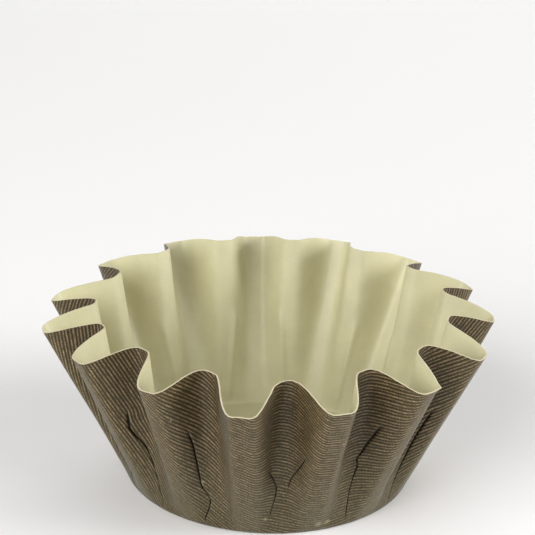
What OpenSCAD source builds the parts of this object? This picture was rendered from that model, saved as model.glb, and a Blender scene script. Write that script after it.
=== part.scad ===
// A fluted baking mould pressed from one round sheet of stiff paper.
// The origin is the middle of the underside, +Z is up and the front is towards -Y.

/* [Sheet] */
// Diameter of the flat round sheet that the mould is pressed from
sheet_d = 132.5; // [122:0.5:145]
// Thickness of the paper
paper_t = 0.4; // [0.25:0.05:0.7]

/* [Base] */
// Diameter of the base, across the outside of the fold
base_d = 58.5; // [52:0.5:63]
// Outer radius of the fold between the floor and the wall
fold_r = 1; // [0.9:0.1:2]

/* [Flutes] */
// Number of flutes round the wall
flutes = 15; // [10:1:18]
// Diameter at the rim across the crests, where the flutes stand out
crest_d = 90; // [84:1:98]
// Diameter at the rim across the valleys between the flutes
valley_d = 71; // [67:1:76]
// How square a flute is: 0 is a plain wave, more gives it steeper sides
squareness = 0.125; // [0:0.005:0.18]
// Angle from the front to the nearest crest
first_crest = -6.5; // [-12:0.5:12]

/* [Pleats] */
// Depth of the step where the spare paper laps over itself in a valley
pleat_depth = 0.8; // [0.3:0.1:1.2]
// Width of paper that slopes down to the step
pleat_w = 1.7; // [1:0.1:2.2]
// Width of the step's steep side
step_w = 0.2; // [0.15:0.05:0.4]
// Distance up the wall from the base at which a pleat starts
pleat_start = 2; // [1:0.5:5]
// Distance up the wall from the base at which a pleat has run out
pleat_end = 24; // [14:0.5:30]
// Distance of a pleat's top end from the middle of its valley
pleat_lean = 1.8; // [0:0.1:2]

/* [Hidden] */
$fn = 240;

paper_colour = "#6d675b";
floor_r = base_d / 2 - fold_r;
// The cut edge lies this far from the base's edge all round, because the sheet was a flat disc
slant = (sheet_d - base_d) / 2;
crest_r = crest_d / 2;
valley_r = valley_d / 2;

// The fold is turned from the floor up to this angle, and the wall takes over from there
fold_turn = 60;
// The wall starts inside the fold's own thickness, so that the two join
overlap_turn = 15;
overlap_share = 0.4;
// A hair past the end of the turned fold
past_turn = 2;
fold_steps = 60;

// Columns of points in one flute: the pleat's own, then evenly spaced ones
even_columns = 13;
columns = flutes * (even_columns + 3);
// Places along a pleat, from its lower to its upper end, and the share of its depth there
pleat_places = [0, 0.18, 0.45, 0.75, 1];
pleat_depths = [0.15, 0.9, 1, 0.6, 0];

// How far out a flute is at a place across it, from -1 in a valley to 1 on the crest at place 0
function wave(place) =
    (1 + squareness) * cos(360 * place) - squareness * cos(1080 * place);

function rim_r(place) =
    (crest_r + valley_r) / 2 + (crest_r - valley_r) / 2 * wave(place);

function rim_z(place) =
    sqrt(pow(slant, 2) - pow(rim_r(place) - base_d / 2, 2));

// Angle at which the straight wall leaves the fold on its way to the rim
function wall_turn(place) =
    let (x = rim_r(place) - floor_r, z = rim_z(place) - fold_r)
    atan2(z, x) + asin(fold_r / norm([x, z]));

// Radius and height of a point on the outside of the fold
function fold_point(turn, r) =
    [floor_r + r * sin(turn), fold_r - r * cos(turn)];

function mix(a, b, share) = a + (b - a) * share;

// Heights of the rings of points, as shares of the straight wall, and the pleats' depth there
wall_shares = concat(
    [0],
    [for (place = pleat_places) mix(pleat_start, pleat_end, place) / slant],
    [1]
);
pleat_shares = concat([0], pleat_depths, [0]);

// Share of a flute's width that a length of paper takes up at a height
function width_share(w, share) =
    w * flutes / (2 * PI * mix(base_d / 2, valley_r, share));

// Place of a pleat's step across its flute: the steps lean to one side and the other by turns
function step_place(flute, share) =
    let (
        side = flute % flutes % 2 == 0 ? 1 : -1,
        lean = pleat_lean * min(1, share * slant / pleat_end)
    )
    side * width_share(lean, share) - 0.5;

// Place across its flute of one column of points, at a height up the wall
function column_place(flute, column, share) =
    let (
        step = step_place(flute, share),
        first = step + width_share(step_w, share),
        last = 1 + step_place(flute + 1, share) - width_share(pleat_w, share)
    )
    column == 0 ? step - width_share(pleat_w, share) :
    column == 1 ? step :
    column == 2 ? first :
    mix(first, last, (column - 2) / (even_columns + 1));

// A point of the wall's outside, from its angle round the mould and its radius and height
function around(flute, place, rz) =
    let (angle = first_crest + 360 / flutes * (flute + place))
    [rz[0] * sin(angle), -rz[0] * cos(angle), rz[1]];

function wall_point(flute, column, ring) =
    let (
        share = wall_shares[ring],
        place = column_place(flute, column, share),
        depth = column == 1 ? pleat_depth * pleat_shares[ring] : 0,
        rz = mix(fold_point(wall_turn(place), fold_r), [rim_r(place), rim_z(place)], share)
    )
    around(flute, place, rz - [depth, 0]);

function fold_end_point(flute, column, turn, r) =
    around(flute, column_place(flute, column, 0), fold_point(turn, r));

function flute_of(i) = floor(i / (even_columns + 3));
function column_of(i) = i % (even_columns + 3);

// The outside of the wall, as rings of points from the fold to the rim
function outside() = [
    [for (i = [0 : columns - 1]) fold_end_point(flute_of(i), column_of(i), fold_turn + past_turn, fold_r)],
    for (ring = [0 : len(wall_shares) - 1])
        [for (i = [0 : columns - 1]) wall_point(flute_of(i), column_of(i), ring)]
];

// The same grid moved inwards by the paper's thickness
function inside(grid) = [
    for (j = [0 : len(grid) - 1]) [
        for (i = [0 : columns - 1])
            let (
                across = grid[j][(i + 1) % columns] - grid[j][(i + columns - 1) % columns],
                up = grid[min(j + 1, len(grid) - 1)][i] - grid[max(j - 1, 0)][i],
                outwards = cross(across, up)
            )
            grid[j][i] - paper_t * outwards / norm(outwards)
    ]
];

// The ring that is sunk into the fold's thickness, on the outside or the inside
function sunk_ring(depth_share) = [
    for (i = [0 : columns - 1])
        fold_end_point(flute_of(i), column_of(i), fold_turn - overlap_turn,
            fold_r - paper_t * depth_share)
];

function reversed(list) = [for (i = [len(list) - 1 : -1 : 0]) list[i]];

module floor_and_fold() {
    rotate_extrude() {
        square([floor_r, paper_t]);
        translate([floor_r, fold_r])
            intersection() {
                difference() {
                    circle(fold_r, $fn = fold_steps);
                    circle(fold_r - paper_t, $fn = fold_steps);
                }
                polygon([[0, 0], [0, -2 * fold_r],
                    2 * fold_r * [sin(fold_turn / 2), -cos(fold_turn / 2)] / cos(fold_turn / 2),
                    2 * fold_r * [sin(fold_turn), -cos(fold_turn)]]);
            }
    }
}

module fluted_wall() {
    out = outside();
    ins = inside(out);
    // Once up the outside, over the rim and down the inside
    loop = concat(
        [sunk_ring((1 - overlap_share) / 2)],
        out,
        reversed(ins),
        [sunk_ring((1 + overlap_share) / 2)]
    );
    n = len(loop);
    points = [for (ring = loop) for (p = ring) p];
    faces = [
        for (j = [0 : n - 1])
            for (i = [0 : columns - 1])
                let (
                    a = j * columns + i,
                    b = j * columns + (i + 1) % columns,
                    c = (j + 1) % n * columns + (i + 1) % columns,
                    d = (j + 1) % n * columns + i
                )
                each [[a, c, b], [a, d, c]]
    ];
    polyhedron(points = points, faces = faces, convexity = 6);
}

module baking_mold() {
    color(paper_colour) {
        floor_and_fold();
        fluted_wall();
    }
}

baking_mold();
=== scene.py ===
"""A fluted baking mould, pressed from one round sheet of striped paper.

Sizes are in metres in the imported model's frame: the origin is the middle of the underside,
+Z is up and the front is towards -Y.
"""
import math

import bpy
import numpy as np
from mathutils import Matrix, Vector, noise


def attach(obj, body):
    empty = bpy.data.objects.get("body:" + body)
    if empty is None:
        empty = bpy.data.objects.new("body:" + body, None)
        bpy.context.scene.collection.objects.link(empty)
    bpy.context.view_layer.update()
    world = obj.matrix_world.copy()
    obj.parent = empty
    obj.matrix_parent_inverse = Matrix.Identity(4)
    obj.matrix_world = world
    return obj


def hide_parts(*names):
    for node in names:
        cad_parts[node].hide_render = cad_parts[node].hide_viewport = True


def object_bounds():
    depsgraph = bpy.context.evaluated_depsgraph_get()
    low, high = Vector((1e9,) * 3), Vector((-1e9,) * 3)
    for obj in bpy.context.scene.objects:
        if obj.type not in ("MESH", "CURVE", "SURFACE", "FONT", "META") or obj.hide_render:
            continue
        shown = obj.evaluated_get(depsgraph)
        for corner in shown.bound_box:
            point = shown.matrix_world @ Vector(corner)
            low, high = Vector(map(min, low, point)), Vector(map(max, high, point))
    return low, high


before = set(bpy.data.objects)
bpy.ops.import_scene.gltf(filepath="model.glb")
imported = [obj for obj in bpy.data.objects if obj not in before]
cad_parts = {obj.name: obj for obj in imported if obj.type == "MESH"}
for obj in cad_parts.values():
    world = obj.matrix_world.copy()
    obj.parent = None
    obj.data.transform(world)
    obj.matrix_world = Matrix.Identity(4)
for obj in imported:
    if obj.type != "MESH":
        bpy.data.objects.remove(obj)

bl_info = {
    "name": "Paper baking mould",
    "version": (1, 0, 0),
    "blender": (4, 5, 0),
    "location": "3D View > Sidebar > Mould",
    "description": "Builds a fluted paper baking mould with its stage and camera",
    "category": "Object",
}

NODE = "baking_mold"
CAD_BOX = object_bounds()
MM = 0.001


def hex_colour(text):
    """Linear red, green and blue of an sRGB hex colour."""
    parts = [int(text[i:i + 2], 16) / 255 for i in (1, 3, 5)]
    return tuple(c / 12.92 if c <= 0.04045 else ((c + 0.055) / 1.055) ** 2.4 for c in parts)


class SheetSizes(bpy.types.PropertyGroup):
    """The flat sheet and the base that is pressed into it."""

    sheet_d: bpy.props.FloatProperty(
        name="Sheet", description="Diameter of the flat round sheet",
        default=132.5 * MM, unit="LENGTH")
    paper_t: bpy.props.FloatProperty(
        name="Paper", description="Thickness of the paper",
        default=0.26 * MM, unit="LENGTH")
    base_d: bpy.props.FloatProperty(
        name="Base", description="Diameter of the base, across the outside of the fold",
        default=58.5 * MM, unit="LENGTH")
    fold_r: bpy.props.FloatProperty(
        name="Fold", description="Outer radius of the fold between the floor and the wall",
        default=1.0 * MM, unit="LENGTH")


class FluteSizes(bpy.types.PropertyGroup):
    """The flutes of the wall."""

    count: bpy.props.IntProperty(
        name="Flutes", description="Number of flutes round the wall", default=15)
    crest_d: bpy.props.FloatProperty(
        name="Crests", description="Diameter at the rim across the crests",
        default=90.0 * MM, unit="LENGTH")
    valley_d: bpy.props.FloatProperty(
        name="Valleys", description="Diameter at the rim across the valleys",
        default=71.0 * MM, unit="LENGTH")
    squareness: bpy.props.FloatProperty(
        name="Squareness", description="0 is a plain wave, more gives steeper sides",
        default=0.127, subtype="FACTOR")
    first_crest: bpy.props.FloatProperty(
        name="First crest", description="Angle from the front to the nearest crest",
        default=math.radians(-6.5), subtype="ANGLE")
    unevenness: bpy.props.FloatProperty(
        name="Unevenness", description="Share of the hand-pressed differences between flutes",
        default=1.0, subtype="FACTOR")


class PleatSizes(bpy.types.PropertyGroup):
    """The folds where spare paper laps over itself in a valley."""

    depth: bpy.props.FloatProperty(
        name="Depth", description="Depth of the step in a pleat",
        default=0.24 * MM, unit="LENGTH")
    gap_w: bpy.props.FloatProperty(
        name="Gap", description="Width of the dark gap under the lapped edge",
        default=0.18 * MM, unit="LENGTH")
    lap_w: bpy.props.FloatProperty(
        name="Lap", description="Width of paper that a pleat bends on each side",
        default=0.7 * MM, unit="LENGTH")


class PaperLook(bpy.types.PropertyGroup):
    """Colours and the spacing of the stripes."""

    ground: bpy.props.FloatVectorProperty(
        name="Ground", description="Dark olive brown between the stripes",
        default=hex_colour("#362f15"), subtype="COLOR")
    stripe: bpy.props.FloatVectorProperty(
        name="Stripe", description="Tan of the thin stripes",
        default=hex_colour("#917b5b"), subtype="COLOR")
    # Greyed olive laid on the crests and the foot of the wall: partly real rubbing, partly
    # painted sheen
    worn_and_sheen: bpy.props.FloatVectorProperty(
        name="Rubbed_and_sheen", description="Greyed olive where pressing rubbed the crests",
        default=hex_colour("#5b573f"), subtype="COLOR")
    lining: bpy.props.FloatVectorProperty(
        name="Lining", description="Cream of the plain inner face",
        default=hex_colour("#cdc8a4"), subtype="COLOR")
    edge: bpy.props.FloatVectorProperty(
        name="Cut edge", description="Pale cream of the bare cut edge",
        default=hex_colour("#dacfae"), subtype="COLOR")
    pitch: bpy.props.FloatProperty(
        name="Stripe spacing", description="Distance from one stripe to the next",
        default=0.7 * MM, unit="LENGTH")
    stripe_turn: bpy.props.FloatProperty(
        name="Stripe direction", description="Angle of the stripes to the front",
        default=math.radians(21.5), subtype="ANGLE")
    stripe_bow: bpy.props.FloatProperty(
        name="Stripe bow", description="Sideways bend of the stripes 1 m from the centre",
        default=1.2)


class StageLook(bpy.types.PropertyGroup):
    """Floor, lights and camera."""

    floor: bpy.props.FloatVectorProperty(
        name="Floor", description="Colour of the plain floor",
        default=hex_colour("#fbfaf9"), subtype="COLOR")
    floor_d: bpy.props.FloatProperty(
        name="Floor size", description="Width of the floor", default=6.0, unit="LENGTH")
    camera_far: bpy.props.FloatProperty(
        name="Camera distance", description="Distance of the camera from the origin",
        default=0.405, unit="LENGTH")
    camera_up: bpy.props.FloatProperty(
        name="Camera elevation", description="Angle of the camera above the floor",
        default=math.radians(27.6), subtype="ANGLE")
    camera_roll: bpy.props.FloatProperty(
        name="Camera roll", description="Tilt of the picture", default=math.radians(1.7),
        subtype="ANGLE")


# Differences between the flutes, from the one nearest the front and on towards +X:
# how far each crest stands out and up past the even shape, in millimetres, and how broad it is
CREST_REACH = (0.2, 0.1, 0.2, 0.1, -0.5, -0.2, 0.2, -0.3, 0.3, -0.1, 0.2, 1.0, 0.9, -0.1, -0.5)
CREST_RISE = (-0.8, -0.5, 0.1, 0.7, 1.0, 0.4, -0.2, 0.3, -0.3, 0.1, -0.5, -1.6, -0.6, 0.6, 0.5)
CREST_BREADTH = (0.22, 0.12, 0, 0.05, 0, 0.05, 0.1, 0, 0.1, 0.05, 0, 0.1, 0, 0.05, 0)

# Routes of the pleats by valley, from the one right of the flute nearest the front. A route
# is a list of heights up the wall and sideways places in the valley, in millimetres. Its side
# is 1 where the lapped edge lies to the right.
PLEAT_ROUTES = {
    0: ((1, ((5, -2.0), (8.5, -1.3), (11, -1.0), (13.5, -1.7), (15, -2.2), (17.5, -3.0))),
        (-1, ((12, 1.2), (13.5, 1.5), (16, 2.4), (19, 3.1), (21.5, 3.4)))),
    1: (None, (-1, ((2, 1.1), (8.5, 1.0), (11, 1.3), (14.5, 1.8), (15.8, 1.3), (17, 1.9),
                    (22, 2.9), (26.5, 3.6)))),
    2: (None, (-1, ((1.5, 1.0), (5, 1.5), (7.5, 2.0), (11, 2.5), (17, 3.1), (21, 3.5),
                    (24, 3.8)))),
    13: ((1, ((1.5, -0.3), (4, -0.8), (10, -1.6), (14.5, -2.4), (17, -3.2), (19.5, -3.6),
              (24, -3.4))), None),
    14: ((1, ((1.5, -2.4), (4, -1.5), (6, -1.1), (7.5, -1.6), (9.5, -2.5), (13.5, -2.7),
              (20, -3.0), (25, -3.5))), None),
}
# Soft folds: valley, heights and sideways places, depth and half width, in millimetres
SOFT_FOLDS = (
    (14, ((0, 2.4), (11.8, 3.0), (17.7, 3.3), (23.5, 3.6), (29.4, 4.1), (37, 4.7)), 0.3, 0.8),
    (0, ((13, -1.9), (16, -2.0), (21, -2.3), (29, -2.4)), 0.16, 0.7),
    (0, ((14, 2.8), (21, 2.6), (29, 2.9)), 0.16, 0.7),
)
# Fibres and corners that stand off the cut edge: flutes from the first crest, how far up and
# how far out they stand, and their half width, in millimetres
RIM_BURRS = ((0.33, 0.5, 0.1, 0.35), (-0.38, 0.35, 0.1, 0.3), (1.36, 0.35, 0.1, 0.3),
             (-0.22, 0.3, 0.1, 0.3), (2.13, 0.35, 0.85, 0.32))
# Pleats that gape more or less, by valley: times the common width, at the foot and the head
GAPING = {0: (0.75, 0.75), 1: (1.3, 1.3), 2: (2.1, 1.0), 13: (2.1, 1.0)}
# Heights up the wall between which that changes, in millimetres
GAPING_HEIGHTS = (6.0, 17.0)
# Small pale scuffs of the outer face: place on the flat sheet and half width, in millimetres
SCUFFS = ((10.6, -29.2, 1.0), (12.4, -28.6, 0.8), (0.0, -33.1, 0.6), (-14.6, -37.2, 0.5),
          (-26.8, -51.7, 0.35))
# Distances from the sheet's centre between which the greying of the foot, a painted sheen, fades
# out, in millimetres
FOOT_GREYED = (28, 54)

# Any other valley has one pleat of a plain slanting route, in millimetres
PLAIN_FOOT = 1.5
PLAIN_HEAD = 22.0
PLAIN_LEAN = 1.8
# A valley with one pleat still has columns for a second, this far to its other side
SPARE_SHIFT = 3.4
# Heights over which a pleat opens and pinches out and a soft fold fades, in millimetres
PLEAT_OPENS = 1.6
PLEAT_PINCHES = 3.5
FOLD_FADES = 3.0
# A pleat's section, as shares of its depth: how far the paper slopes down to the gap, how far
# the lapped edge stands proud, how deep the gap is, and how high the ridge inside is
SLOPE_SHARE = 0.3
LIP_SHARE = 0.08
GAP_SHARE = 2.2
RIDGE_SHARE = 1.6

# Dents of the wall and raggedness of the cut edge: how many in a metre, and millimetres deep
DENTS = (90, 0.16)
RAGGED = (1400, 0.07)

# Grid of the sheet: columns of points across one flute, and rings up it
SIDE_COLUMNS = 12
MIDDLE_COLUMNS = 4
# Places of a pleat's own columns, as shares of the gap and then of the lap
GAP_PLACES = (0.2, 0.5, 0.75)
LAP_PLACES = (0.35, 0.6, 1.0)
FLOOR_RINGS = (0.35, 0.7, 1.0)
FOLD_RINGS = (0.25, 0.5, 0.75, 1.0)
WALL_RINGS = 44

# Soft square lights, one metre away: name, size in metres, watts, and degrees to the right of
# the camera and up
LIGHTS = (("left key", 0.8, 10.3, -40, 28), ("left side", 0.5, 0.8, -75, 16),
          ("right side", 0.5, 8.4, 85, 16), ("right fill", 0.6, 2.4, 55, 40),
          ("back", 0.8, 4.0, 180, 30))


def node_of(tree, kind, inputs=None, **settings):
    """Adds a node with its settings; a linked input is given as (node, output)."""
    made = tree.nodes.new(kind)
    for name, value in settings.items():
        setattr(made, name, value)
    for name, value in (inputs or {}).items():
        socket = made.inputs[name]
        if isinstance(value, tuple) and isinstance(value[0], bpy.types.Node):
            tree.links.new(value[0].outputs[value[1]], socket)
        else:
            socket.default_value = value
    return made


def new_material(name):
    """An empty node material and its tree."""
    made = bpy.data.materials.new(name)
    made.use_nodes = True
    made.node_tree.nodes.clear()
    return made, made.node_tree


def smooth_step(share):
    """Eases from 0 to 1."""
    share = np.clip(share, 0, 1)
    return share * share * (3 - 2 * share)


class MouldShape:
    """The pressed sheet's form, as functions of the place round it and the height up it."""

    def __init__(self, scene):
        sheet, flute = scene.mould_sheet, scene.mould_flutes
        self.paper_t = sheet.paper_t
        self.fold_r = sheet.fold_r
        self.base_r = sheet.base_d / 2
        self.floor_r = self.base_r - self.fold_r
        self.slant = (sheet.sheet_d - sheet.base_d) / 2
        self.count = flute.count
        self.mean_r = (flute.crest_d + flute.valley_d) / 4
        self.swing = (flute.crest_d - flute.valley_d) / 4
        self.valley_r = flute.valley_d / 2
        self.squareness = flute.squareness
        self.first = flute.first_crest
        self.uneven = flute.unevenness

    def wave(self, turn):
        """-1 in a valley to 1 on a crest, where turn counts flutes from the first crest."""
        full = 2 * np.pi * turn
        return (1 + self.squareness) * np.cos(full) - self.squareness * np.cos(3 * full)

    def between_crests(self, values, turn):
        """Eases a value given for each crest from one crest to the next."""
        values = np.array(values) * self.uneven
        before = np.floor(turn).astype(int)
        share = (1 - np.cos(np.pi * (turn - before))) / 2
        first = values[before % len(values)]
        return first + (values[(before + 1) % len(values)] - first) * share

    def rim(self, turn):
        """Radius and height of the cut edge. A flat disc's edge stays one slant away."""
        wave = self.wave(turn)
        wave = wave + self.between_crests(CREST_BREADTH, turn) * np.sin(2 * np.pi * turn) ** 2
        radius = self.mean_r + self.swing * wave
        height = np.sqrt(self.slant ** 2 - (radius - self.base_r) ** 2)
        radius = radius + self.between_crests(CREST_REACH, turn) * MM * (1 + wave) / 2
        return radius, height + self.between_crests(CREST_RISE, turn) * MM

    def section(self, turn, part, share):
        """Radius, height and distance along the paper from the centre, on the floor, the
        fold or the wall."""
        rim_r, rim_z = self.rim(turn)
        across, up = rim_r - self.floor_r, rim_z - self.fold_r
        bend = np.arctan2(up, across) + np.arcsin(self.fold_r / np.hypot(across, up))
        if part == "floor":
            radius = self.floor_r * share + 0 * turn
            return radius, 0 * turn, radius
        if part == "fold":
            angle = bend * share
            return (self.floor_r + self.fold_r * np.sin(angle),
                    self.fold_r * (1 - np.cos(angle)),
                    self.floor_r + self.fold_r * angle)
        foot_r = self.floor_r + self.fold_r * np.sin(bend)
        foot_z = self.fold_r * (1 - np.cos(bend))
        length = np.hypot(rim_r - foot_r, rim_z - foot_z)
        return (foot_r + (rim_r - foot_r) * share,
                foot_z + (rim_z - foot_z) * share,
                self.floor_r + self.fold_r * bend + length * share)

    def valley_radius(self, share):
        """Radius of the valleys' floor at a height up the wall."""
        return self.base_r + (self.valley_r - self.base_r) * share


class PleatLayout:
    """The pleats of every valley, and the columns of points that follow them."""

    def __init__(self, shape, sizes):
        self.shape = shape
        self.depth = sizes.depth
        self.gap_w = sizes.gap_w
        self.lap_w = sizes.lap_w
        gap = [share * self.gap_w / 2 for share in GAP_PLACES]
        lap = [self.gap_w / 2 + share * (self.lap_w - self.gap_w / 2) for share in LAP_PLACES]
        half = [0.0] + gap + [self.gap_w / 2 * 1.3] + lap
        self.places = np.array([-d for d in reversed(half[1:])] + half)

    def route(self, valley, which):
        """Side, heights, places and strength of a valley's left or right pleat."""
        made = PLEAT_ROUTES.get(valley)
        if made is None:
            lean = PLAIN_LEAN * (1 if valley % 2 else -1)
            points = ((PLAIN_FOOT, 0.0), (PLAIN_HEAD, lean))
            made = ((1 if valley % 2 else -1, points), None)
        pleat = made[which]
        if pleat is None:
            side, points = made[1 - which]
            shift = SPARE_SHIFT if which else -SPARE_SHIFT
            return side, np.array(points) + (0, shift), 0.0
        return pleat[0], np.array(pleat[1], float), 1.0

    def columns(self, share):
        """For all the columns at a height: their turns, how far each lies sideways from its
        valley's left and right pleats, those pleats' strengths and sides, and the depth of
        the soft folds."""
        radius = self.shape.valley_radius(share)
        height = share * self.shape.slant / MM
        half = radius * math.pi / self.shape.count
        turns, sideways, near, strength, side = [], [], [], [], []
        for valley in range(self.shape.count):
            routes = [self.route(valley, which) for which in (0, 1)]
            centre = [np.interp(height, r[1][:, 0], r[1][:, 1]) * MM for r in routes]
            power = [r[2] * pleat_fade(height, r[1][0, 0], r[1][-1, 0]) for r in routes]
            gape = float(np.interp(height, GAPING_HEIGHTS, GAPING.get(valley, (1.0, 1.0))))
            spread = self.places * gape
            left, right = centre[0] + spread, centre[1] + spread
            places = np.concatenate([
                np.linspace(-half, left[0], SIDE_COLUMNS, endpoint=False),
                left,
                np.linspace(left[-1], right[0], MIDDLE_COLUMNS + 2)[1:-1],
                right,
                np.linspace(right[-1], half, SIDE_COLUMNS + 1)[1:-1],
            ])
            turns.append(valley + 0.5 + places / half / 2)
            sideways.append(places)
            near.append(np.stack([places - centre[0], places - centre[1]]) / gape)
            power = [share / max(1.0, gape) for share in power]
            strength.append(np.stack([places * 0 + power[0], places * 0 + power[1]]))
            side.append(np.stack([places * 0 + routes[0][0], places * 0 + routes[1][0]]))
        return (np.concatenate(turns), np.concatenate(near, 1), np.concatenate(strength, 1),
                np.concatenate(side, 1), self.fold_depth(height, sideways))

    def fold_depth(self, height, sideways):
        """Depth of the soft folds at a height, for the sideways places of every valley."""
        depth = [0 * places for places in sideways]
        for valley, points, deep, half_w in SOFT_FOLDS:
            route = np.array(points, float)
            middle = np.interp(height, route[:, 0], route[:, 1])
            low, high = route[0, 0], route[-1, 0] + 1
            power = (smooth_step((height - low) / FOLD_FADES)
                     * smooth_step((high - height) / FOLD_FADES))
            away = (sideways[valley] / MM - middle) / half_w
            depth[valley] = depth[valley] + deep * MM * power * np.exp(-away ** 2)
        return np.concatenate(depth)

    def outer_depth(self, near, side):
        """Depth of the outer face by the distance from a pleat: the paper slopes down on one
        side, drops into the gap, and the lapped edge stands proud on the other side."""
        across = near * side
        gap = self.gap_w / 2
        crown = 2.2 * gap
        slope = SLOPE_SHARE * smooth_step(1 + (across + gap) / (self.lap_w - gap))
        lip = -LIP_SHARE * smooth_step(1 - np.abs(across - crown) / (self.lap_w - crown))
        inside = self.gap_share(near)
        open_side = np.where(across < 0, slope, lip)
        return self.depth * (open_side * (1 - inside) + GAP_SHARE * inside)

    def gap_share(self, near):
        """1 in the narrow gap under a lapped edge, and 0 beside it."""
        gap = self.gap_w / 2
        return smooth_step((gap * 1.15 - np.abs(near)) / (gap * 0.75))

    def inner_depth(self, near):
        """Depth of the soft ridge that a pleat raises on the inner face."""
        return self.depth * RIDGE_SHARE * smooth_step(1 - np.abs(near) / (self.lap_w * 1.5))


def pleat_fade(height, foot, head):
    """A pleat's strength by height: it opens just above the base and pinches out."""
    opened = smooth_step((height - foot + PLEAT_OPENS * 0.75) / PLEAT_OPENS)
    return float(opened * smooth_step((head - height) / PLEAT_PINCHES))


def unit(vectors):
    """Vectors brought to length 1."""
    return vectors / np.linalg.norm(vectors, axis=-1, keepdims=True)


def grid_normals(grid):
    """Outward normals of a closed ring-by-ring grid of points."""
    across = np.roll(grid, -1, 1) - np.roll(grid, 1, 1)
    up = np.empty_like(grid)
    up[1:-1] = grid[2:] - grid[:-2]
    up[0] = grid[1] - grid[0]
    up[-1] = grid[-1] - grid[-2]
    return unit(np.cross(across, up))


def sheet_places(grid, along, strength, first, count):
    """Where each point lay on the flat sheet. Paper that the flutes don't take up is hidden
    in the pleats, so the stripes jump there, and what is left over is spread out."""
    steps = np.linalg.norm(np.roll(grid, -1, 1) - grid, axis=2)
    flat = np.empty(grid.shape)
    per = grid.shape[1] // count
    half_pleat = pleat_columns() // 2
    # The columns of a flute's left and right pleats at which the stripes jump
    middles = (SIDE_COLUMNS + half_pleat, per - SIDE_COLUMNS - half_pleat)
    for cell in range(count):
        here = slice(cell * per, (cell + 1) * per)
        arc = np.concatenate([np.zeros((len(grid), 1)), np.cumsum(steps[:, here], 1)], 1)
        whole = arc[:, -1:]
        wanted = along[:, here].mean(1, keepdims=True) * 2 * np.pi / count
        spare = wanted - whole
        weight = strength[:, :, cell * per]
        total = np.maximum(weight.sum(1, keepdims=True), 1e-9)
        hidden = np.clip(spare, 0, None) * np.minimum(weight.sum(1, keepdims=True), 1)
        jump = np.zeros((len(grid), per))
        for which, at in enumerate(middles):
            jump[:, at:] += hidden * weight[:, which:which + 1] / total
        stretch = (wanted - hidden) / whole
        angle = (arc[:, :-1] * stretch + jump) / (wanted * count / (2 * np.pi))
        theta = first + cell * 2 * np.pi / count + angle
        flat[:, here, 0] = along[:, here] * np.sin(theta)
        flat[:, here, 1] = -along[:, here] * np.cos(theta)
        flat[:, here, 2] = 0
    return flat


def pleat_columns():
    """Number of columns that one pleat has."""
    return 2 * (len(GAP_PLACES) + 1 + len(LAP_PLACES)) + 1


def waviness(points, scale):
    """Small dents and swells, from -1 to 1, with so many in a metre round the mould."""
    out = np.zeros(points.shape[:2])
    for j, ring in enumerate(points):
        for i, p in enumerate(ring):
            out[j, i] = noise.noise(Vector((p[0] * scale, p[1] * scale, p[2] * scale / 2)))
    return out


def rim_burrs(grid, turns, shape):
    """Shift of the cut edge's points: fine raggedness, and the burrs that stand off it."""
    up = unit(grid[-1] - grid[-2])
    out = unit(grid[-1] * (1, 1, 0))
    width = 2 * np.pi * shape.mean_r / shape.count
    shift = up * (waviness(grid[-1:], RAGGED[0])[0] * RAGGED[1] * MM)[:, None]
    for turn, rise, reach, half_w in RIM_BURRS:
        away = (turns - turn + shape.count / 2) % shape.count - shape.count / 2
        bump = np.exp(-(away * width / half_w / MM) ** 2)[:, None]
        shift = shift + bump * MM * (up * rise + out * reach)
    return shift * shape.uneven


def press_rings(shape, pleats):
    """Points of the even sheet ring by ring, from the floor to the rim, each with its turn,
    its pleats' distances, strengths and sides, its distance along the paper from the centre,
    its soft folds' depth, and the ring's share of the wall's dents."""
    parts = [("floor", s) for s in FLOOR_RINGS] + [("fold", s) for s in FOLD_RINGS]
    parts += [("wall", (j + 1) / WALL_RINGS) for j in range(WALL_RINGS)]
    rings = []
    for part, share in parts:
        height = share if part == "wall" else 0.0
        turns, near, strength, side, fold = pleats.columns(height)
        radius, level, along = shape.section(turns, part, share)
        angle = shape.first + turns * 2 * np.pi / shape.count
        points = np.stack([radius * np.sin(angle), -radius * np.cos(angle), level], 1)
        dented = smooth_step(height * 4) + 0 * turns
        rings.append((points, turns, near, strength, side, along, fold, dented))
    return [np.stack(values) for values in zip(*rings)]


def sheet_faces(levels, count):
    """Faces of the outer side, the inner side and the cut edge, with their material slots.
    The outer side's points come first, then the inner side's, then the two centres."""
    i = np.arange(count)
    following = (i + 1) % count
    inner = levels * count
    outside, inside = [], []
    for j in range(levels - 1):
        low, high = j * count, (j + 1) * count
        outside.append(np.stack([low + i, low + following, high + following, high + i], 1))
        inside.append(np.stack([low + i, high + i, high + following, low + following], 1) + inner)
    top = (levels - 1) * count
    edge = np.stack([top + i, top + following, top + following + inner, top + i + inner], 1)
    centre = 2 * inner
    fans = [[int(b), int(a), centre] for a, b in zip(i, following)]
    fans_inside = [[int(a) + inner, int(b) + inner, centre + 1] for a, b in zip(i, following)]
    outside, inside = np.concatenate(outside).tolist(), np.concatenate(inside).tolist()
    faces = outside + fans + inside + fans_inside + edge.tolist()
    slots = [0] * (len(outside) + len(fans)) + [1] * (len(inside) + len(fans_inside))
    return faces, slots + [2] * len(edge)


def sharpen_rim(mesh, levels, count):
    """Keeps the two corners of the cut edge sharp."""
    top, inner = (levels - 1) * count, levels * count
    rim = np.concatenate([np.arange(top, inner), np.arange(top, inner) + inner])
    pairs = np.empty(len(mesh.edges) * 2, dtype=int)
    mesh.edges.foreach_get("vertices", pairs)
    pairs = pairs.reshape(-1, 2)
    same_side = (pairs[:, 0] < inner) == (pairs[:, 1] < inner)
    sharp = mesh.attributes.new("sharp_edge", "BOOLEAN", "EDGE")
    sharp.data.foreach_set("value", np.isin(pairs, rim).all(1) & same_side)


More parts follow.
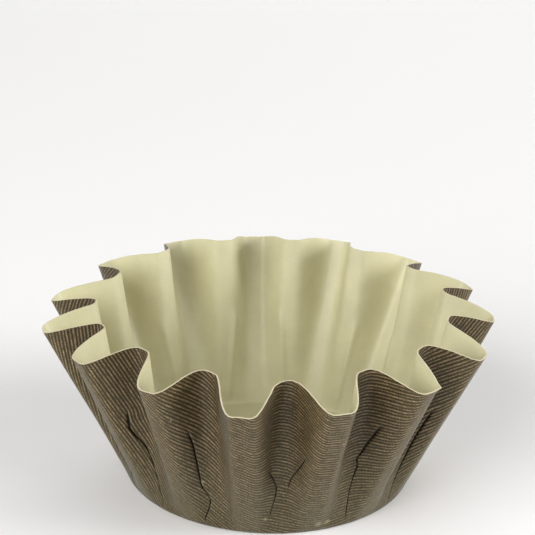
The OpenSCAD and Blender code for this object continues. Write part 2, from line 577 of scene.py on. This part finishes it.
def press_sheet(context):
    """Makes the mould's mesh: striped outer face, plain inner face and cut edge."""
    scene = context.scene
    shape = MouldShape(scene)
    pleats = PleatLayout(shape, scene.mould_pleats)
    even, turns, near, strength, side, along, fold, dented = press_rings(shape, pleats)

    dents = waviness(even, DENTS[0]) * dented * DENTS[1] * MM
    even = even + grid_normals(even) * (dents - fold)[..., None]
    even[-1] += rim_burrs(even, turns[-1], shape)
    normals = grid_normals(even)
    dip = (pleats.outer_depth(near, side) * strength).sum(1)
    outer = even - normals * dip[..., None]
    ridge = (pleats.inner_depth(near) * strength).max(1)
    inner = even - normals * (shape.paper_t + ridge)[..., None]
    # Share of the gap under a lapped edge, where the outer material paints shade
    gap = (pleats.gap_share(near) * strength).max(1)
    # 0 on a crest's top, rising to 1 deep in the valley; the outer material uses it for painted
    # sheen on the crests and painted shade in the valleys
    pressed = np.clip(0.85 - shape.wave(turns), 0, 1.4) / 1.4
    flat = sheet_places(even, along, strength, shape.first, shape.count)

    levels, count = outer.shape[:2]
    vertices = np.concatenate([outer.reshape(-1, 3), inner.reshape(-1, 3),
                               [[0, 0, 0], [0, 0, shape.paper_t]]])
    places = np.concatenate([flat.reshape(-1, 3), flat.reshape(-1, 3), [[0, 0, 0], [0, 0, 0]]])
    faces, slots = sheet_faces(levels, count)
    mesh = bpy.data.meshes.new("paper_mould")
    mesh.from_pydata(vertices.tolist(), [], faces)
    mesh.polygons.foreach_set("material_index", slots)
    mesh.polygons.foreach_set("use_smooth", [True] * len(faces))
    layer = mesh.attributes.new("sheet", "FLOAT_VECTOR", "POINT")
    layer.data.foreach_set("vector", places.astype(np.float32).ravel())
    for name, values in (("gap", gap), ("valley", pressed)):
        layer = mesh.attributes.new(name, "FLOAT", "POINT")
        values = np.concatenate([values.ravel(), values.ravel(), [0, 0]])
        layer.data.foreach_set("value", values.astype(np.float32))
    sharpen_rim(mesh, levels, count)
    mesh.update()
    piece = bpy.data.objects.new("paper_mould", mesh)
    context.collection.objects.link(piece)
    return piece


def stripe_lines(tree, place, look):
    """The distance across the stripes, counted in stripes, for each place on the flat sheet,
    and a vector of it with the distance along them in millimetres."""
    turn = look.stripe_turn
    across = node_of(tree, "ShaderNodeVectorMath", operation="DOT_PRODUCT", inputs={
        0: (place, "Vector"), 1: (-math.sin(turn) / look.pitch, math.cos(turn) / look.pitch, 0)})
    squared = node_of(tree, "ShaderNodeVectorMath", operation="MULTIPLY", inputs={
        0: (place, "Vector"), 1: (place, "Vector")})
    bowed = node_of(tree, "ShaderNodeVectorMath", operation="DOT_PRODUCT", inputs={
        0: (squared, 0), 1: (look.stripe_bow / look.pitch, 0, 0)})
    across = node_of(tree, "ShaderNodeMath", operation="ADD", inputs={
        0: (across, "Value"), 1: (bowed, "Value")})
    along = node_of(tree, "ShaderNodeVectorMath", operation="DOT_PRODUCT", inputs={
        0: (place, "Vector"), 1: (math.cos(turn) / MM, math.sin(turn) / MM, 0)})
    return across, node_of(tree, "ShaderNodeCombineXYZ", inputs={
        "X": (across, 0), "Y": (along, "Value")})


def stripe_power(tree, across, line):
    """How strongly a stripe is printed, from 0 between two stripes to about 1 on one."""
    # Stripes wander by a tenth of their spacing
    stretched = node_of(tree, "ShaderNodeVectorMath", operation="MULTIPLY", inputs={
        0: (line, 0), 1: (0.4, 0.08, 1)})
    wander = node_of(tree, "ShaderNodeTexNoise", noise_dimensions="2D", inputs={
        "Vector": (stretched, 0), "Scale": 1.0, "Detail": 3.0, "Roughness": 0.6})
    shift = node_of(tree, "ShaderNodeMath", operation="MULTIPLY_ADD", inputs={
        0: (wander, "Fac"), 1: 0.5, 2: (across, 0)})
    round_wave = node_of(tree, "ShaderNodeMath", operation="MULTIPLY", inputs={
        0: (shift, 0), 1: 2 * math.pi})
    wave = node_of(tree, "ShaderNodeMath", operation="SINE", inputs={0: (round_wave, 0)})
    # Every other stripe is stronger
    half_wave = node_of(tree, "ShaderNodeMath", operation="MULTIPLY", inputs={
        0: (shift, 0), 1: math.pi})
    other = node_of(tree, "ShaderNodeMath", operation="SINE", inputs={0: (half_wave, 0)})
    wave = node_of(tree, "ShaderNodeMath", operation="MULTIPLY_ADD", inputs={
        0: (other, 0), 1: 0.22, 2: (wave, 0)})
    stripe = node_of(tree, "ShaderNodeMapRange", interpolation_type="SMOOTHSTEP", inputs={
        "Value": (wave, 0), "From Min": -0.2, "From Max": 0.95})
    # Each stripe is broken into stronger and weaker dashes a few millimetres long
    dash_place = node_of(tree, "ShaderNodeVectorMath", operation="MULTIPLY", inputs={
        0: (line, 0), 1: (1.0, 0.35, 1)})
    dashes = node_of(tree, "ShaderNodeTexNoise", noise_dimensions="2D", inputs={
        "Vector": (dash_place, 0), "Scale": 1.0, "Detail": 2.0, "Roughness": 0.7})
    dash_power = node_of(tree, "ShaderNodeMapRange", inputs={
        "Value": (dashes, "Fac"), "From Min": 0.35, "From Max": 0.65,
        "To Min": 0.4, "To Max": 1.1})
    return node_of(tree, "ShaderNodeMath", operation="MULTIPLY", inputs={
        0: (stripe, 0), 1: (dash_power, 0)})


def colour_with_painted_light(tree, place, look, colour, fibre):
    """The printed colour with its flecks, its crests partly rubbed and partly greyed as a painted
    sheen, a painted sheen at the foot, and painted shade in the valleys and in the pleats' gaps.
    """
    tone = node_of(tree, "ShaderNodeMapRange", inputs={
        "Value": (fibre, "Fac"), "From Min": 0.38, "From Max": 0.62,
        "To Min": 0.45, "To Max": 1.5})
    # The crests are greyed to olive, partly rubbed by pressing and partly as a painted sheen; the
    # valleys are darkened below with painted shade
    valley = node_of(tree, "ShaderNodeAttribute", attribute_name="valley")
    rubbed_and_painted_sheen = node_of(tree, "ShaderNodeMapRange", inputs={
        "Value": (valley, "Fac"), "From Min": 0.0, "From Max": 0.4,
        "To Min": 0.14, "To Max": 0.0})
    # The foot of the wall is greyed too, most of all beside the base: a painted sheen
    from_centre = node_of(tree, "ShaderNodeVectorMath", operation="LENGTH", inputs={
        0: (place, "Vector")})
    foot = node_of(tree, "ShaderNodeMapRange", interpolation_type="SMOOTHSTEP", inputs={
        "Value": (from_centre, "Value"), "From Min": FOOT_GREYED[0] * MM,
        "From Max": FOOT_GREYED[1] * MM, "To Min": 0.34, "To Max": 0.0})
    rubbed_and_painted_sheen = node_of(tree, "ShaderNodeMath", operation="ADD", inputs={
        0: (rubbed_and_painted_sheen, 0), 1: (foot, 0)})
    colour = node_of(tree, "ShaderNodeMix", data_type="RGBA", inputs={
        0: (rubbed_and_painted_sheen, 0), 6: (colour, 2), 7: (*look.worn_and_sheen, 1)})
    # Painted shade: the colour darkens to 0.84 towards the valley floors
    shade = node_of(tree, "ShaderNodeMapRange", inputs={
        "Value": (valley, "Fac"), "From Min": 0.0, "From Max": 0.6,
        "To Min": 1.0, "To Max": 0.84})
    # Painted shade: the colour in the gap under a lapped edge is darkened to a tenth, as almost
    # no light comes back out of it
    gap = node_of(tree, "ShaderNodeAttribute", attribute_name="gap")
    painted_gap_shade = node_of(tree, "ShaderNodeMapRange", inputs={
        "Value": (gap, "Fac"), "From Min": 0.05, "From Max": 0.5, "To Min": 1.0, "To Max": 0.1})
    shade = node_of(tree, "ShaderNodeMath", operation="MULTIPLY", inputs={
        0: (shade, 0), 1: (painted_gap_shade, 0)})
    tone = node_of(tree, "ShaderNodeMath", operation="MULTIPLY", inputs={
        0: (tone, 0), 1: (shade, 0)})
    return node_of(tree, "ShaderNodeVectorMath", operation="SCALE", inputs={
        0: (colour, 2), "Scale": (tone, 0)})


def scuffed_colour(tree, place, look, toned, fibre):
    """The colour with its small pale scuffs, as a node and its output."""
    colour = (toned, "Vector")
    for x, y, half_w in SCUFFS:
        away = node_of(tree, "ShaderNodeVectorMath", operation="DISTANCE", inputs={
            0: (place, "Vector"), 1: (x * MM, y * MM, 0)})
        close = node_of(tree, "ShaderNodeMapRange", inputs={
            "Value": (away, "Value"), "From Min": 0.0, "From Max": half_w * MM,
            "To Min": 0.6, "To Max": 0.0})
        patchy = node_of(tree, "ShaderNodeMath", operation="MULTIPLY", use_clamp=True, inputs={
            0: (close, 0), 1: (fibre, "Fac")})
        scuffed = node_of(tree, "ShaderNodeMix", data_type="RGBA", inputs={
            0: (patchy, 0), 6: colour, 7: (*look.edge, 1)})
        colour = (scuffed, 2)
    return colour


def striped_paper(look):
    """Kraft baking paper, ribbed and silicone coated: thin tan stripes on olive brown, with a
    soft gloss, a painted sheen that greys them on the crests and at the foot, painted shade in
    the valleys and the pleats' gaps, and a faint cool sheen where the paper turns away."""
    made, tree = new_material("Striped coated kraft paper")
    place = node_of(tree, "ShaderNodeAttribute", attribute_name="sheet")
    across, line = stripe_lines(tree, place, look)
    power = stripe_power(tree, across, line)
    colour = node_of(tree, "ShaderNodeMix", data_type="RGBA", inputs={
        0: (power, 0), 6: (*look.ground, 1), 7: (*look.stripe, 1)})
    # Beads and pulp flecks about 0.3 mm long break up the stripes
    bead_place = node_of(tree, "ShaderNodeVectorMath", operation="MULTIPLY", inputs={
        0: (line, 0), 1: (0.6, 1, 1)})
    fibre = node_of(tree, "ShaderNodeTexNoise", noise_dimensions="2D", inputs={
        "Vector": (bead_place, 0), "Scale": 3.2, "Detail": 5.0, "Roughness": 0.75})
    toned = colour_with_painted_light(tree, place, look, colour, fibre)
    # Ribs stand 0.03 mm high along the stripes
    height = node_of(tree, "ShaderNodeMath", operation="MULTIPLY_ADD", inputs={
        0: (fibre, "Fac"), 1: 0.5, 2: (power, 0)})
    bump = node_of(tree, "ShaderNodeBump", inputs={
        "Strength": 0.6, "Distance": 0.03 * MM, "Height": (height, 0)})
    rough = node_of(tree, "ShaderNodeMapRange", inputs={
        "Value": (fibre, "Fac"), "To Min": 0.38, "To Max": 0.54})
    shader = node_of(tree, "ShaderNodeBsdfPrincipled", inputs={
        "Base Color": scuffed_colour(tree, place, look, toned, fibre),
        "Roughness": (rough, 0), "Normal": (bump, 0),
        "IOR": 1.5, "Specular IOR Level": 0.3, "Sheen Weight": 0.22, "Sheen Roughness": 0.25,
        "Sheen Tint": (0.7, 0.88, 1.0, 1)})
    node_of(tree, "ShaderNodeOutputMaterial", inputs={"Surface": (shader, 0)})
    return made


def lining_paper(look):
    """Uncoloured greaseproof face: plain cream, slightly cloudy, with a soft silky gloss."""
    made, tree = new_material("Cream greaseproof paper")
    place = node_of(tree, "ShaderNodeAttribute", attribute_name="sheet")
    cloud = node_of(tree, "ShaderNodeTexNoise", inputs={
        "Vector": (place, "Vector"), "Scale": 0.12 / MM, "Detail": 5.0, "Roughness": 0.6})
    fibre = node_of(tree, "ShaderNodeTexNoise", inputs={
        "Vector": (place, "Vector"), "Scale": 2.2 / MM, "Detail": 3.0, "Roughness": 0.6})
    mixed = node_of(tree, "ShaderNodeMath", operation="MULTIPLY_ADD", inputs={
        0: (fibre, "Fac"), 1: 0.4, 2: (cloud, "Fac")})
    tone = node_of(tree, "ShaderNodeMapRange", inputs={
        "Value": (mixed, 0), "From Min": 0.5, "From Max": 0.9, "To Min": 0.92, "To Max": 1.05})
    colour = node_of(tree, "ShaderNodeVectorMath", operation="SCALE", inputs={
        0: tuple(look.lining), "Scale": (tone, 0)})
    bump = node_of(tree, "ShaderNodeBump", inputs={
        "Strength": 0.4, "Distance": 0.01 * MM, "Height": (fibre, "Fac")})
    shader = node_of(tree, "ShaderNodeBsdfPrincipled", inputs={
        "Base Color": (colour, 0), "Roughness": 0.5, "IOR": 1.5, "Normal": (bump, 0),
        "Coat Weight": 0.15, "Coat Roughness": 0.4})
    node_of(tree, "ShaderNodeOutputMaterial", inputs={"Surface": (shader, 0)})
    return made


def cut_edge_paper(look):
    """Bare cut fibres: pale, dull and a little ragged."""
    made, tree = new_material("Cut paper edge")
    place = node_of(tree, "ShaderNodeTexCoord")
    fibre = node_of(tree, "ShaderNodeTexNoise", inputs={
        "Vector": (place, "Object"), "Scale": 1.5 / MM, "Detail": 4.0, "Roughness": 0.7})
    colour = node_of(tree, "ShaderNodeMix", data_type="RGBA", inputs={
        0: (fibre, "Fac"), 6: tuple(c * 0.8 for c in look.edge) + (1,), 7: (*look.edge, 1)})
    bump = node_of(tree, "ShaderNodeBump", inputs={
        "Strength": 0.7, "Distance": 0.04 * MM, "Height": (fibre, "Fac")})
    shader = node_of(tree, "ShaderNodeBsdfPrincipled", inputs={
        "Base Color": (colour, 2), "Roughness": 0.8, "IOR": 1.5, "Normal": (bump, 0)})
    node_of(tree, "ShaderNodeOutputMaterial", inputs={"Surface": (shader, 0)})
    return made


class MOULD_OT_press_sheet(bpy.types.Operator):
    """Press the striped sheet into the fluted mould."""

    bl_idname = "mould.press_sheet"
    bl_label = "Press the sheet"

    def execute(self, context):
        piece = press_sheet(context)
        look = context.scene.mould_look
        for material in (striped_paper(look), lining_paper(look), cut_edge_paper(look)):
            piece.data.materials.append(material)
        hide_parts(NODE)
        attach(piece, "root")
        return {"FINISHED"}


def floor_material(look):
    """Matt painted board: a plain pale ground."""
    made, tree = new_material("Matt white board")
    shader = node_of(tree, "ShaderNodeBsdfPrincipled", inputs={
        "Base Color": (*look.floor, 1), "Roughness": 0.9})
    node_of(tree, "ShaderNodeOutputMaterial", inputs={"Surface": (shader, 0)})
    return made


def add_light(context, name, size, power, azimuth, elevation):
    """A square soft light, turned to the mould."""
    data = bpy.data.lights.new(name, "AREA")
    data.shape = "SQUARE"
    data.size = size
    data.energy = power
    light = bpy.data.objects.new(name, data)
    azimuth, elevation = math.radians(azimuth), math.radians(elevation)
    towards = Vector((math.sin(azimuth) * math.cos(elevation),
                      -math.cos(azimuth) * math.cos(elevation), math.sin(elevation)))
    light.location = towards
    light.rotation_euler = (-towards).to_track_quat("-Z", "Y").to_euler()
    context.collection.objects.link(light)


def place_camera(context, look):
    """The photograph's view: a long lens a little above the rim, aimed over the mould."""
    picture_px = 535
    focal_px = 1947
    aim = Vector((-1.15, 0, 43.9)) * MM
    far, up_angle, roll = look.camera_far, look.camera_up, look.camera_roll
    eye = Vector((0, -far * math.cos(up_angle), far * math.sin(up_angle)))
    forward = (aim - eye).normalized()
    right = forward.cross(Vector((0, 0, 1))).normalized()
    up = right.cross(forward)
    right, up = (math.cos(roll) * right + math.sin(roll) * up,
                 math.cos(roll) * up - math.sin(roll) * right)
    data = bpy.data.cameras.new("photo_camera")
    data.sensor_width = 36.0
    data.lens = data.sensor_width * focal_px / picture_px
    data.clip_start = 0.01
    camera = bpy.data.objects.new("photo_camera", data)
    turned = Matrix((right, up, -forward)).transposed().to_4x4()
    turned.translation = eye
    camera.matrix_world = turned
    context.collection.objects.link(camera)
    context.scene.camera = camera


class MOULD_OT_set_stage(bpy.types.Operator):
    """Set the floor, the soft lights and the camera."""

    bl_idname = "mould.set_stage"
    bl_label = "Set the stage"

    def execute(self, context):
        look = context.scene.mould_stage
        half = look.floor_d / 2
        mesh = bpy.data.meshes.new("floor")
        mesh.from_pydata([(-half, -half, 0), (half, -half, 0), (half, half, 0), (-half, half, 0)],
                         [], [(0, 1, 2, 3)])
        floor = bpy.data.objects.new("floor", mesh)
        floor.location.z = CAD_BOX[0][2]
        floor.data.materials.append(floor_material(look))
        context.collection.objects.link(floor)

        world = bpy.data.worlds.new("studio")
        world.use_nodes = True
        world.node_tree.nodes["Background"].inputs["Color"].default_value = (1, 1, 1, 1)
        world.node_tree.nodes["Background"].inputs["Strength"].default_value = 0.1
        context.scene.world = world
        context.scene.view_settings.view_transform = "Standard"
        for name, size, power, azimuth, elevation in LIGHTS:
            add_light(context, name, size, power, azimuth, elevation)
        place_camera(context, look)
        return {"FINISHED"}


class MOULD_PT_sidebar(bpy.types.Panel):
    """Lists the mould's steps."""

    bl_idname = "MOULD_PT_sidebar"
    bl_label = "Paper baking mould"
    bl_space_type = "VIEW_3D"
    bl_region_type = "UI"
    bl_category = "Mould"

    def draw(self, context):
        for group in PROPERTY_NAMES:
            values = getattr(context.scene, group)
            for name in values.__annotations__:
                self.layout.prop(values, name)
        for operator in STEPS:
            self.layout.operator(operator)


CLASSES = (SheetSizes, FluteSizes, PleatSizes, PaperLook, StageLook,
           MOULD_OT_press_sheet, MOULD_OT_set_stage, MOULD_PT_sidebar)
PROPERTY_NAMES = {
    "mould_sheet": SheetSizes,
    "mould_flutes": FluteSizes,
    "mould_pleats": PleatSizes,
    "mould_look": PaperLook,
    "mould_stage": StageLook,
}
STEPS = ("mould.press_sheet", "mould.set_stage")


def register():
    for made in CLASSES:
        bpy.utils.register_class(made)
    for name, group in PROPERTY_NAMES.items():
        setattr(bpy.types.Scene, name, bpy.props.PointerProperty(type=group))


def unregister():
    for name in PROPERTY_NAMES:
        delattr(bpy.types.Scene, name)
    for made in reversed(CLASSES):
        bpy.utils.unregister_class(made)


def main():
    """Builds the mould and the stage."""
    register()
    bpy.ops.mould.press_sheet()
    bpy.ops.mould.set_stage()


if __name__ == "__main__":
    main()
